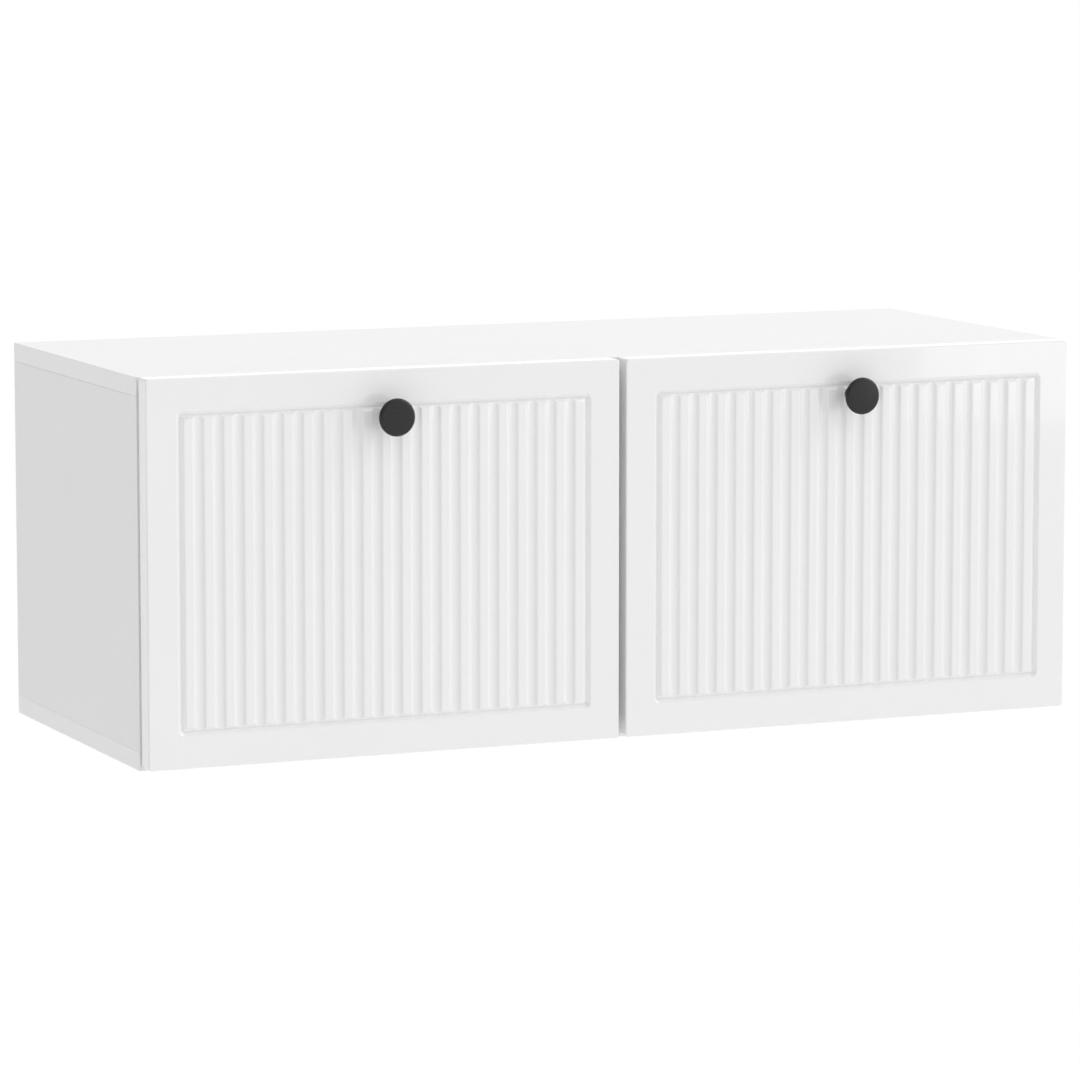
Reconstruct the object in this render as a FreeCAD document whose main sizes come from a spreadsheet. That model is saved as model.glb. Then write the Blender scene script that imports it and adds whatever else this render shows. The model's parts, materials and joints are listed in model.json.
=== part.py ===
import FreeCAD, Part
import math
import os
import re
import sys
import Sketcher

# Hanging wall cabinet with two drop-down doors.
# Origin: on the wall, midway along the cabinet, level with the underside of the carcass.
# +X runs to the right as a person faces the cabinet, +Z is up and the doors face -Y. Millimetres.

DIMENSIONS = {
    # carcass boards
    "width": 848,
    "height": 324,
    "depth": 321,
    "board": 16,
    "band": 1,
    "band_round": 0.7,
    "back_setback": 17,
    "back_board": 3,
    "groove_depth": 6,
    # knock-down fittings at the board joints
    "cam_radius": 7.5,
    "cam_depth": 12.5,
    "cam_clearance": 0.3,
    "cam_distance": 34,
    "cam_slot": 7.8,
    "cam_front_place": 281,
    "cam_rear_place": 110,
    "cap_radius": 8.5,
    "cap_thickness": 0.8,
    "bolt_hole_radius": 4,
    "bolt_thread_radius": 2.5,
    "bolt_thread_length": 11,
    "bolt_shaft_radius": 3,
    "bolt_neck_radius": 2.2,
    "bolt_head_radius": 3.4,
    "bolt_head": 4,
    "dowel_radius": 4,
    "dowel_in_panel": 12,
    "dowel_in_end": 18,
    "dowel_front_place": 249,
    "dowel_rear_place": 78,
    # doors
    "door_width": 419.4,
    "door_height": 321.3,
    "door_thickness": 18,
    "door_gap": 2,
    "door_inset": 1.4,
    "door_lift": 2.7,
    "door_edge_round": 1.4,
    "door_inner_round": 1,
    # fluted field of a door
    "vee_half_width": 3.5,
    "vee_depth": 2.8,
    "vee_floor": 0.1,
    "vee_corner": 4,
    "field_side": 29.5,
    "field_end": 30.5,
    "flute_radius": 7.35,
    "flute_depth": 2.15,
    "flute_pitch": 17.32,
    "flute_count": 20,
    # knob
    "knob_height_on_door": 283.6,
    "knob_base": 9.5,
    "knob_neck": 7.2,
    "knob_head": 15.75,
    "knob_rim": 13.6,
    "knob_length": 25.5,
    "knob_bore": 2,
    "knob_bore_depth": 10,
    "knob_screw_clearance": 2.25,
    # hinges
    "pivot_depth": 8.5,
    "pivot_height": 6,
    "hinge_offset": 149,
    "cup_radius": 17.5,
    "cup_depth": 12,
    "cup_wall": 0.5,
    "cup_height": 20,
    "wing_half": 29,
    "wing_height": 9,
    "wing_thickness": 0.8,
    "cup_screw_offset": 23.5,
    "cup_screw_radius": 1.6,
    "lug_inner": 3.2,
    "lug_outer": 6,
    "lug_front": 2.6,
    "lug_below": 2.2,
    "lug_above": 5,
    "hinge_pin_radius": 1,
    "hinge_pin_clearance": 0.05,
    "eye_radius": 2.2,
    "eye_half": 3,
    "hook_rear": 2.4,
    "arm_half": 7,
    "arm_thickness": 2.2,
    "arm_flange": 1.2,
    "arm_flange_height": 4.6,
    "arm_flange_front": 316,
    "arm_rear": 262,
    "foot_half": 9,
    "foot_front": 312,
    "foot_thickness": 2.2,
    "foot_wing_half": 22,
    "foot_wing_place": 288,
    "foot_wing_depth": 8,
    "foot_screw_offset": 16,
    "foot_screw_length": 11,
    "adjuster_front": 300,
    "adjuster_rear": 272,
    "adjuster_radius": 2,
    "adjuster_head_radius": 3,
    "adjuster_head": 1.6,
    # friction stays
    "stay_radius": 150,
    "stay_pin_angle": 8.25,
    "stay_guide_angle": 38.25,
    "stay_inset": 11,
    "stay_rod_radius": 3,
    "stay_rod_start": 4,
    "stay_rod_length": 278,
    "stay_eye_radius": 6,
    "stay_eye_half": 1.5,
    "stay_pin_radius": 2.5,
    "stay_pin_clearance": 0.05,
    "stay_stop_start": 268.5,
    "stay_stop_length": 8,
    "stay_stop_radius": 6,
    "barrel_radius": 8,
    "barrel_inner": 7,
    "barrel_outer": 8.5,
    "barrel_bore": 3.3,
    "trunnion_radius": 3,
    "trunnion_clearance": 0.05,
    "trunnion_end": 4.4,
    "trunnion_bore_end": 4.1,
    "plate_thickness": 2,
    "base_half_width": 10,
    "base_half_height": 20,
    "base_screw_offset": 14,
    "bracket_half_height": 17,
    "bracket_inner": 19,
    "bracket_lug": 9,
    "bracket_lug_thickness": 2,
    "bracket_screw_place": 14,
    "bracket_screw_offset": 12,
    "brake_radius": 1.5,
    "brake_head_radius": 5,
    "brake_head": 5,
    # plain wood screws
    "screw_radius": 1.75,
    "screw_head_radius": 3.2,
    "screw_head": 1.5,
    "screw_depth": 11,
    # magnetic catches
    "catch_half": 23,
    "catch_front": 319.5,
    "catch_rear": 306,
    "catch_drop": 11,
    "magnet_half": 9,
    "magnet_front": 321.1,
    "magnet_rear": 309,
    "magnet_margin": 2,
    "catch_screw_offset": 17,
    "strike_half": 18,
    "strike_thickness": 1.5,
    "strike_low": 297,
    "strike_high": 307,
    "strike_screw_offset": 13.5,
    "strike_screw_head": 1.2,
    "strike_screw_depth": 8,
    # bumpers
    "bumper_radius": 4,
    "bumper_thickness": 1.9,
    "bumper_place": 314.5,
    "bumper_inner": 30,
    "bumper_outer": 394,
    # hangers and wall plates
    "hanger_inner": 17,
    "hanger_front": 64,
    "hanger_low": 252,
    "hanger_high": 302,
    "hanger_cavity_low": 262,
    "hanger_cavity_high": 290,
    "hook_inner": 13,
    "hook_outer": 3,
    "hook_seat": 270,
    "hook_thickness": 3,
    "hook_front": 50,
    "hook_top": 288,
    "tooth_front": 5.4,
    "tooth_rear": 2.6,
    "tooth_low": 258,
    "hook_screw_height": 281,
    "hook_screw_radius": 2.5,
    "hook_screw_head_radius": 4.5,
    "hook_screw_head": 2,
    "hook_screw_end": 40,
    "hanger_screw_place": 43,
    "hanger_screw_radius": 2,
    "hanger_screw_head_radius": 4,
    "hanger_screw_head": 2.2,
    "hanger_screw_depth": 12,
    "hanger_screw_inset": 5.5,
    "slot_inner": 14,
    "slot_outer": 2,
    "slot_low": 255,
    "slot_high": 276,
    "wall_plate_inner": 58,
    "wall_plate_outer": 2,
    "wall_plate_low": 208,
    "wall_plate_step": 254,
    "lip_front": 8,
    "wall_hole_radius": 3,
    "wall_hole_height": 226,
    "wall_hole_inner": 46,
    "wall_hole_outer": 14,
}

X, Y, Z = FreeCAD.Vector(1, 0, 0), FreeCAD.Vector(0, 1, 0), FreeCAD.Vector(0, 0, 1)
# turns the local Z axis of a round piece onto the named axis
TURNS = {
    "z": FreeCAD.Rotation(),
    "-z": FreeCAD.Rotation(X, 180),
    "x": FreeCAD.Rotation(Y, 90),
    "-x": FreeCAD.Rotation(Y, -90),
    "y": FreeCAD.Rotation(X, -90),
    "-y": FreeCAD.Rotation(X, 90),
}
PLANES = {"x": "YZ_Plane", "y": "XZ_Plane", "z": "XY_Plane"}
SIDES = {"left": -1, "right": 1}

# places that several pieces share, as expressions of the sheet's names
HALF = "width / 2"
INNER = "(width / 2 - board)"
BOARD_FRONT = "(band - depth)"
UNDER_TOP = "(height - board)"
DOOR_BACK = "(-depth - door_gap)"
DOOR_FRONT = "(-depth - door_gap - door_thickness)"
DOOR_TOP = "(door_lift + door_height)"
DOOR_MIDDLE = "(width / 2 - door_inset - door_width / 2)"
PIVOT_Y = "(-depth - door_gap - pivot_depth)"
PIVOT_Z = "(door_lift + pivot_height)"
CUP_Z = "(door_lift + cup_height)"
ARM_UNDER = "(board + foot_thickness)"
ARM_TOP = "(board + foot_thickness + arm_thickness)"
WALL_SLOPE = "atan((vee_half_width - vee_floor) / vee_depth)"
ROD_X = "(width / 2 - board - stay_inset)"
CATCH_Y = "(-catch_rear / 2 - catch_front / 2)"
ROD_TILT = "(stay_pin_angle / 2 + stay_guide_angle / 2)"
PIN_Y = f"({PIVOT_Y} + stay_radius * sin(stay_pin_angle))"
PIN_Z = f"({PIVOT_Z} + stay_radius * cos(stay_pin_angle))"
GUIDE_Y = f"({PIVOT_Y} + stay_radius * sin(stay_guide_angle))"
GUIDE_Z = f"({PIVOT_Z} + stay_radius * cos(stay_guide_angle))"

doc = FreeCAD.newDocument("wall_cabinet")
subparts = []


def make_sheet():
    sheet = doc.addObject("Spreadsheet::Sheet", "Sheet")
    for row, (name, value) in enumerate(DIMENSIONS.items(), start=1):
        sheet.set(f"A{row}", name)
        sheet.set(f"B{row}", str(value))
        sheet.setAlias(f"B{row}", name)
    doc.recompute()


def term(text):
    """Puts the sheet's name before each of its aliases in an expression."""
    return re.sub(r"[a-z_]+", lambda word: "Sheet." * (word.group() in DIMENSIONS) + word.group(), str(text))


def bind(thing, prop, text):
    thing.setExpression(prop, term(text))


def move(thing, place):
    for letter, text in zip("xyz", place):
        bind(thing, f".Placement.Base.{letter}", text)


def mirrored(sign, near, far):
    """A range of X between two distances from the middle, on the side that sign gives, low end first."""
    if sign > 0:
        return near, far
    return f"-({far})", f"-({near})"


def signed(sign, distance):
    return f"{sign} * ({distance})"


def block(x, y, z, name="block"):
    box = doc.addObject("Part::Box", name)
    for size, (low, high) in zip(("Length", "Width", "Height"), (x, y, z)):
        bind(box, size, f"({high}) - ({low})")
    move(box, (x[0], y[0], z[0]))
    return box


def set_cylinder(cylinder, axis, radius, length, start):
    cylinder.Placement = FreeCAD.Placement(FreeCAD.Vector(), TURNS[axis])
    bind(cylinder, "Radius", radius)
    bind(cylinder, "Height", length)
    move(cylinder, start)
    return cylinder


def cylinder(axis, radius, length, start, name="cylinder"):
    return set_cylinder(doc.addObject("Part::Cylinder", name), axis, radius, length, start)


def along_rod(radius, length, start, x):
    """A cylinder on a stay rod's axis; start counts from the rod's pin towards the rear."""
    tool = doc.addObject("Part::Cylinder", "on_rod")
    tool.Placement = FreeCAD.Placement(FreeCAD.Vector(), FreeCAD.Rotation(-X, 90))
    bind(tool, "Radius", radius)
    bind(tool, "Height", length)
    bind(tool, ".Placement.Rotation.Angle", f"90 + {ROD_TILT}")
    move(tool, (x, f"{PIN_Y} + ({start}) * cos({ROD_TILT})", f"{PIN_Z} - ({start}) * sin({ROD_TILT})"))
    return tool


def fuse(shapes, name="joined"):
    whole = doc.addObject("Part::MultiFuse", name)
    whole.Shapes = shapes
    whole.Refine = True
    return whole


def cut(base, tools, name="trimmed"):
    result = doc.addObject("Part::Cut", name)
    result.Base = base
    result.Tool = tools[0] if len(tools) == 1 else fuse(tools)
    return result


def sketch_on(body, axis, height):
    """A sketch across the named axis, at a height along it."""
    sketch = body.newObject("Sketcher::SketchObject", "outline")
    plane = [feature for feature in body.Origin.OriginFeatures if feature.Role == PLANES[axis]][0]
    sketch.AttachmentSupport = [(plane, "")]
    sketch.MapMode = "FlatFace"
    # the XZ plane's normal is -Y
    bind(sketch, ".AttachmentOffset.Base.z", f"-({height})" if axis == "y" else height)
    return sketch


def draw_polygon(sketch, points):
    """A closed straight outline bound to the sheet at each corner; it starts from a regular polygon."""
    count = len(points)
    corners = []
    for index in range(count):
        angle = 2 * math.pi * (index + 0.3) / count
        corners.append(FreeCAD.Vector(10 * math.cos(angle), 10 * math.sin(angle), 0))
    for index in range(count):
        sketch.addGeometry(Part.LineSegment(corners[index], corners[(index + 1) % count]))
    for index in range(count):
        sketch.addConstraint(Sketcher.Constraint("Coincident", index, 2, (index + 1) % count, 1))
    for index, (across, up) in enumerate(points):
        at = corners[index]
        for kind, value, text in (("DistanceX", at.x, across), ("DistanceY", at.y, up)):
            number = sketch.addConstraint(Sketcher.Constraint(kind, index, 1, value))
            bind(sketch, f"Constraints[{number}]", text)


def rectangle(first, second):
    (left, right), (low, high) = first, second
    return [(left, low), (right, low), (right, high), (left, high)]


def prism(axis, points, low, high, name="prism"):
    """A body: an outline across the axis, padded from low to high along it."""
    body = doc.addObject("PartDesign::Body", name)
    sketch = sketch_on(body, axis, high if axis == "y" else low)
    draw_polygon(sketch, points)
    pad = body.newObject("PartDesign::Pad", "pad")
    pad.Profile = sketch
    bind(pad, "Length", f"({high}) - ({low})")
    return body


def lathe(axis, profile, start, name="turned"):
    """A body turned about an axis: profile points are (radius, distance along the axis from start)."""
    body = doc.addObject("PartDesign::Body", name)
    sketch = sketch_on(body, "y", 0)
    draw_polygon(sketch, profile)
    turned = body.newObject("PartDesign::Revolution", "turned")
    turned.Profile = sketch
    turned.ReferenceAxis = (sketch, ["V_Axis"])
    turned.Angle = 360
    body.Placement = FreeCAD.Placement(FreeCAD.Vector(), TURNS[axis])
    move(body, start)
    return body


def pocket(body, axis, points, height, depth, name="pocket"):
    """Cuts an outline into a body, from a height along its own axis towards the low side."""
    before = body.Shape.Volume
    sketch = sketch_on(body, axis, height)
    draw_polygon(sketch, points)
    feature = body.newObject("PartDesign::Pocket", name)
    feature.Profile = sketch
    feature.Reversed = axis == "y"
    bind(feature, "Length", depth)
    doc.recompute()
    if body.Shape.Volume >= before:
        sys.exit(f"{body.Label}: {name} cuts nothing")


def round_edges(body, radius, wanted, kind="PartDesign::Fillet"):
    """Rounds the edges of a body's last feature whose middle point passes the test."""
    doc.recompute()
    last = body.Tip
    names = []
    for index, edge in enumerate(last.Shape.Edges, start=1):
        middle = edge.valueAt((edge.FirstParameter + edge.LastParameter) / 2)
        if wanted(middle, edge):
            names.append(f"Edge{index}")
    fillet = body.newObject(kind, "rounding")
    fillet.Base = (last, names)
    bind(fillet, "Radius", radius)
    doc.recompute()


def close(value, target):
    return abs(value - target) < 1e-4


def screw(axis, head, head_radius, shank, shank_radius, seat, name="screw"):
    """A pan-head screw with a cross recess; seat is under its head, the axis runs from shank to head."""
    profile = [
        (0, f"-({shank})"),
        (f"0.6 * ({shank_radius})", f"-({shank})"),
        (shank_radius, f"({shank_radius}) - ({shank})"),
        (shank_radius, 0),
        (head_radius, 0),
        (head_radius, f"0.5 * ({head})"),
        (f"0.7 * ({head_radius})", head),
        (0, head),
    ]
    body = lathe(axis, profile, seat, name)
    doc.recompute()
    wide, slim = f"0.5 * ({head_radius})", f"0.14 * ({head_radius})"
    cross = [
        (f"-({wide})", f"-({slim})"), (f"-({slim})", f"-({slim})"), (f"-({slim})", f"-({wide})"),
        (slim, f"-({wide})"), (slim, f"-({slim})"), (wide, f"-({slim})"),
        (wide, slim), (slim, slim), (slim, wide),
        (f"-({slim})", wide), (f"-({slim})", slim), (f"-({wide})", slim),
    ]
    pocket(body, "z", cross, head, f"0.6 * ({head})", "recess")
    return body


def keep(name, piece):
    """Names one sub-part: a single object, or several loose solids that share a node."""
    if isinstance(piece, list):
        group = doc.addObject("Part::Compound", name)
        group.Links = piece
        piece = group
    piece.Label = name
    subparts.append(piece)


# ---- carcass -------------------------------------------------------------------------------------


def upright_boards():
    """Each upright board: name, range of X, middle X, X of its face with cams, where that face looks."""
    boards = {}
    for side, sign in SIDES.items():
        boards[f"{side}_side_panel"] = (
            mirrored(sign, INNER, HALF),
            signed(sign, "width / 2 - board / 2"),
            signed(sign, INNER),
            -sign,
        )
    boards["centre_partition"] = (("-board / 2", "board / 2"), "0", "-board / 2", -1)
    return boards


def ends_of_uprights():
    """The two joint planes: the name of the panel, its Z and the direction from there into the upright."""
    return (("top_panel", UNDER_TOP, -1), ("bottom_panel", "board", 1))


def cam_lock(face, direction, y, z):
    axis = "x" if direction > 0 else "-x"
    start = (f"{face} - {direction} * cam_depth", y, z)
    body = lathe(axis, rectangle((0, "cam_radius"), (0, "cam_depth - cam_clearance")), start, "cam_lock")
    doc.recompute()
    middle = "cam_depth - board / 2"
    across = ("-1.1 * cam_radius", "1.1 * cam_radius")
    slot = rectangle(across, (f"{middle} - cam_slot / 2", f"{middle} + cam_slot / 2"))
    pocket(body, "y", slot, "cam_slot / 2", "cam_slot", "bolt_slot")
    top = "cam_depth - cam_clearance"
    pocket(body, "z", rectangle((-3, 3), (-0.8, 0.8)), top, 2, "driver_slot")
    return body


def cam_bolt(x, y, z, direction):
    head_end = "cam_distance + bolt_head / 2"
    neck_start = "cam_distance - bolt_head / 2 - 3.5"
    profile = [
        (0, "-bolt_thread_length"),
        ("bolt_thread_radius", "-bolt_thread_length"),
        ("bolt_thread_radius", 0),
        ("bolt_shaft_radius", 0),
        ("bolt_shaft_radius", neck_start),
        ("bolt_neck_radius", neck_start),
        ("bolt_neck_radius", "cam_distance - bolt_head / 2"),
        ("bolt_head_radius", "cam_distance - bolt_head / 2"),
        ("bolt_head_radius", head_end),
        (0, head_end),
    ]
    return lathe("z" if direction > 0 else "-z", profile, (x, y, z), "cam_bolt")


def edge_band(axis, points, low, high, wanted):
    body = prism(axis, points, low, high, "edge_band")
    round_edges(body, "band_round", wanted)
    return body


def carcass():
    width, depth, height = (DIMENSIONS[name] for name in ("width", "depth", "height"))
    board = DIMENSIONS["board"]
    bores = {name: [] for name in ("top_panel", "bottom_panel", *upright_boards())}
    locks, bolts, caps, dowels = [], [], [], []
    cap = [(0, 0), ("cap_radius", 0), ("0.85 * cap_radius", "cap_thickness"), (0, "cap_thickness")]
    for name, (_, middle, face, direction) in upright_boards().items():
        for panel, level, into in ends_of_uprights():
            up, down = ("z", "-z") if into > 0 else ("-z", "z")
            for place in ("-cam_front_place", "-cam_rear_place"):
                centre = f"{level} + {into} * cam_distance"
                locks.append(cam_lock(face, direction, place, centre))
                bolts.append(cam_bolt(middle, place, level, into))
                inward = "x" if direction < 0 else "-x"
                bores[name].append(cylinder(inward, "cam_radius", "cam_depth", (face, place, centre)))
                bores[name].append(cylinder(up, "bolt_hole_radius", "cam_distance", (middle, place, level)))
                bores[panel].append(
                    cylinder(down, "bolt_thread_radius", "bolt_thread_length", (middle, place, level))
                )
                outward = "-x" if direction < 0 else "x"
                caps.append(lathe(outward, cap, (face, place, centre), "cap"))
            for place in ("-dowel_front_place", "-dowel_rear_place"):
                low = f"{level} - {into} * dowel_in_panel"
                length = "dowel_in_panel + dowel_in_end"
                dowels.append(cylinder(up, "dowel_radius", length, (middle, place, low), "dowel"))
                bores[name].append(cylinder(up, "dowel_radius", "dowel_in_end", (middle, place, level)))
                bores[panel].append(cylinder(down, "dowel_radius", "dowel_in_panel", (middle, place, level)))

    back = ("-back_setback - back_board", "-back_setback")
    between = (f"-({INNER} + groove_depth)", f"{INNER} + groove_depth")
    long_x = ("band - width / 2", "width / 2 - band")
    boards = {
        "top_panel": block(long_x, (BOARD_FRONT, 0), (UNDER_TOP, "height")),
        "bottom_panel": block(long_x, (BOARD_FRONT, 0), (0, "board")),
    }
    bores["top_panel"].append(block(between, back, (UNDER_TOP, f"{UNDER_TOP} + groove_depth")))
    bores["bottom_panel"].append(block(between, back, ("board - groove_depth", "board")))
    for name, (span, _, _, direction) in upright_boards().items():
        rear = "-back_setback - back_board" if name == "centre_partition" else 0
        boards[name] = block(span, (BOARD_FRONT, rear), ("board", UNDER_TOP))
        if name != "centre_partition":
            groove = mirrored(-direction, INNER, f"{INNER} + groove_depth")
            bores[name].append(block(groove, back, ("board", UNDER_TOP)))
    bores["top_panel"].extend(catch_screw_bores())
    bores["bottom_panel"].extend(foot_screw_bores())
    for side, sign in SIDES.items():
        bores[f"{side}_side_panel"].extend(side_screw_bores(sign))
    for name, base in boards.items():
        keep(name, cut(base, bores[name], name))

    slots = []
    for sign in SIDES.values():
        slot_x = mirrored(sign, f"{INNER} - slot_inner", f"{INNER} - slot_outer")
        slots.append(block(slot_x, back, ("slot_low", "slot_high")))
    sheet_z = ("board - groove_depth", f"{UNDER_TOP} + groove_depth")
    keep("back_panel", cut(block(between, back, sheet_z), slots, "back_panel"))

    bands = []
    for low, high, near, far in (("0", "board", 0, board), (UNDER_TOP, "height", height - board, height)):
        front = rectangle(long_x, ("-depth", BOARD_FRONT))
        bands.append(edge_band(
            "z", front, low, high,
            lambda p, e, a=near, b=far: close(p.y, -depth) and (close(p.z, a) or close(p.z, b)),
        ))
        for sign in SIDES.values():
            end = rectangle(mirrored(sign, "width / 2 - band", HALF), ("-depth", 0))
            bands.append(edge_band(
                "z", end, low, high,
                lambda p, e, s=sign: close(p.x, s * width / 2) and not close(p.y, 0),
            ))
    for name, (span, _, _, _) in upright_boards().items():
        front = rectangle(span, ("-depth", BOARD_FRONT))
        bands.append(edge_band(
            "z", front, "board", UNDER_TOP,
            lambda p, e: close(p.y, -depth) and close(p.z, height / 2),
        ))
    keep("edge_bands", bands)
    keep("wood_dowels", dowels)
    keep("cam_bolts", bolts)
    keep("cam_locks", locks)
    keep("cam_cover_caps", caps)


# ---- hanging hardware ----------------------------------------------------------------------------


def hanger_screw_heights():
    return ("hanger_low + hanger_screw_inset", "hanger_high - hanger_screw_inset")


def side_screw_bores(sign):
    """Pilot holes in a side panel for the hanger and the stay base."""
    out = "x" if sign > 0 else "-x"
    bores = []
    for z in hanger_screw_heights():
        start = (signed(sign, INNER), "-hanger_screw_place", z)
        bores.append(cylinder(out, "hanger_screw_radius", "hanger_screw_depth", start))
    for z in stay_base_screw_heights():
        bores.append(cylinder(out, "screw_radius", "screw_depth", (signed(sign, INNER), GUIDE_Y, z)))
    return bores


def hangers():
    adjusters, fixings = [], []
    for side, sign in SIDES.items():
        out, inward = ("x", "-x") if sign > 0 else ("-x", "x")
        rear = "(-back_setback - back_board)"
        span = mirrored(sign, f"{INNER} - hanger_inner", INNER)
        hollow = mirrored(sign, f"{INNER} - slot_inner", f"{INNER} - slot_outer")
        tools = [block(hollow, ("3 - hanger_front", rear), ("hanger_cavity_low", "hanger_cavity_high"))]
        hook_middle = signed(sign, f"{INNER} - hook_inner / 2 - hook_outer / 2")
        screw_seat = (hook_middle, "-hanger_front", "hook_screw_height")
        tools.append(cylinder("y", "hook_screw_radius", 5, screw_seat))
        for z in hanger_screw_heights():
            start = (signed(sign, f"{INNER} - hanger_inner"), "-hanger_screw_place", z)
            tools.append(cylinder(out, "hanger_screw_radius", "hanger_inner", start))
            fixings.append(screw(
                inward, "hanger_screw_head", "hanger_screw_head_radius",
                "hanger_inner + hanger_screw_depth", "hanger_screw_radius", start,
            ))
        case = block(span, ("-hanger_front", rear), ("hanger_low", "hanger_high"))
        keep(f"{side}_hanger_body", cut(case, tools))
        outline = [
            ("-hook_front", "hook_seat"),
            ("-hook_front", "hook_top"),
            ("hook_thickness - hook_front", "hook_top"),
            ("hook_thickness - hook_front", "hook_seat + hook_thickness"),
            ("-tooth_rear", "hook_seat + hook_thickness"),
            ("-tooth_rear", "tooth_low"),
            ("-tooth_front", "tooth_low"),
            ("-tooth_front", "hook_seat"),
        ]
        hook = prism("x", outline, *mirrored(sign, f"{INNER} - hook_inner", f"{INNER} - hook_outer"))
        start = (hook_middle, "-hook_front - 1", "hook_screw_height")
        hole = cylinder("y", "hook_screw_radius", "hook_thickness + 2", start)
        keep(f"{side}_hanger_hook", cut(hook, [hole]))
        adjusters.append(screw(
            "-y", "hook_screw_head", "hook_screw_head_radius", "hanger_front - hook_screw_end",
            "hook_screw_radius", screw_seat,
        ))
        outline = [
            (0, "wall_plate_low"),
            ("-plate_thickness", "wall_plate_low"),
            ("-plate_thickness", "wall_plate_step"),
            ("-lip_front", "wall_plate_step"),
            ("-lip_front", "hook_seat"),
            ("plate_thickness - lip_front", "hook_seat"),
            ("plate_thickness - lip_front", "wall_plate_step + plate_thickness"),
            (0, "wall_plate_step + plate_thickness"),
        ]
        plate_x = mirrored(sign, f"{INNER} - wall_plate_inner", f"{INNER} - wall_plate_outer")
        plate = prism("x", outline, *plate_x)
        holes = []
        for place in ("wall_hole_inner", "wall_hole_outer"):
            start = (signed(sign, f"{INNER} - {place}"), "-plate_thickness", "wall_hole_height")
            holes.append(cylinder("y", "wall_hole_radius", "plate_thickness", start))
        keep(f"{side}_wall_plate", cut(plate, holes))
    keep("hanger_adjusting_screws", adjusters)
    keep("hanger_fixing_screws", fixings)


# ---- hinges --------------------------------------------------------------------------------------


def hinge_places(sign):
    return (
        signed(sign, f"{DOOR_MIDDLE} - hinge_offset"),
        signed(sign, f"{DOOR_MIDDLE} + hinge_offset"),
    )


def around(x, half):
    return f"{x} - ({half})", f"{x} + ({half})"


def foot_screw_places():
    places = []
    for sign in SIDES.values():
        for x in hinge_places(sign):
            places.extend(around(x, "foot_screw_offset"))
    return places


def foot_screw_bores():
    bores = []
    for x in foot_screw_places():
        bores.append(cylinder("-z", "screw_radius", "foot_screw_length", (x, "-foot_wing_place", "board")))
    return bores


def hinge_arm(x):
    nose = f"({PIVOT_Y} - eye_radius)"
    pieces = [
        block(around(x, "arm_half"), (nose, "-arm_rear"), (ARM_UNDER, ARM_TOP)),
        block(around(x, "eye_half"), (nose, f"{PIVOT_Y} + hook_rear"), (PIVOT_Z, ARM_TOP)),
        cylinder("x", "eye_radius", "2 * eye_half", (f"{x} - eye_half", PIVOT_Y, PIVOT_Z)),
    ]
    flanges = (
        (f"{x} - arm_half", f"{x} - arm_half + arm_flange"),
        (f"{x} + arm_half - arm_flange", f"{x} + arm_half"),
    )
    flange_z = (ARM_UNDER, f"{ARM_TOP} + arm_flange_height")
    for flange_x in flanges:
        pieces.append(block(flange_x, ("-arm_flange_front", "-arm_rear"), flange_z))
    radius = "hinge_pin_radius + hinge_pin_clearance"
    holes = [cylinder("x", radius, "2 * eye_half + 2", (f"{x} - eye_half - 1", PIVOT_Y, PIVOT_Z))]
    for place in ("-adjuster_front", "-adjuster_rear"):
        holes.append(cylinder("z", "adjuster_radius", "arm_thickness", (x, place, ARM_UNDER)))
    return cut(fuse(pieces), holes)


def hinge_foot(x):
    wing_y = around("-foot_wing_place", "foot_wing_depth")
    pieces = [
        block(around(x, "foot_half"), ("-foot_front", "-arm_rear"), ("board", ARM_UNDER)),
        block(around(x, "foot_wing_half"), wing_y, ("board", ARM_UNDER)),
    ]
    holes = []
    for place in ("-adjuster_front", "-adjuster_rear"):
        holes.append(cylinder("z", "adjuster_radius", "foot_thickness", (x, place, "board")))
    for screw_x in around(x, "foot_screw_offset"):
        start = (screw_x, "-foot_wing_place", "board")
        holes.append(cylinder("z", "screw_radius", "foot_thickness", start))
    return cut(fuse(pieces), holes)


def hinge_pin(x):
    return cylinder("x", "hinge_pin_radius", "2 * lug_outer", (f"{x} - lug_outer", PIVOT_Y, PIVOT_Z))


def hinge_cup(x):
    wing_y = (DOOR_BACK, f"{DOOR_BACK} + wing_thickness")
    outside = [
        cylinder("-y", "cup_radius", "cup_depth", (x, DOOR_BACK, CUP_Z)),
        block(around(x, "wing_half"), wing_y, around(CUP_Z, "wing_height")),
    ]
    hollow = cylinder(
        "-y", "cup_radius - cup_wall", "cup_depth - cup_wall + wing_thickness",
        (x, f"{DOOR_BACK} + wing_thickness", CUP_Z),
    )
    shell = cut(fuse(outside), [hollow])
    lugs = []
    for lug_x in ((f"{x} - lug_outer", f"{x} - lug_inner"), (f"{x} + lug_inner", f"{x} + lug_outer")):
        lugs.append(block(
            lug_x,
            (f"{DOOR_BACK} - cup_depth + cup_wall / 2", f"{PIVOT_Y} + lug_front"),
            (f"{PIVOT_Z} - lug_below", f"{PIVOT_Z} + lug_above"),
        ))
    holes = [hinge_pin(x)]
    for screw_x in around(x, "cup_screw_offset"):
        holes.append(cylinder("y", "cup_screw_radius", "wing_thickness", (screw_x, DOOR_BACK, CUP_Z)))
    return cut(fuse([shell, *lugs]), holes)


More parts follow.
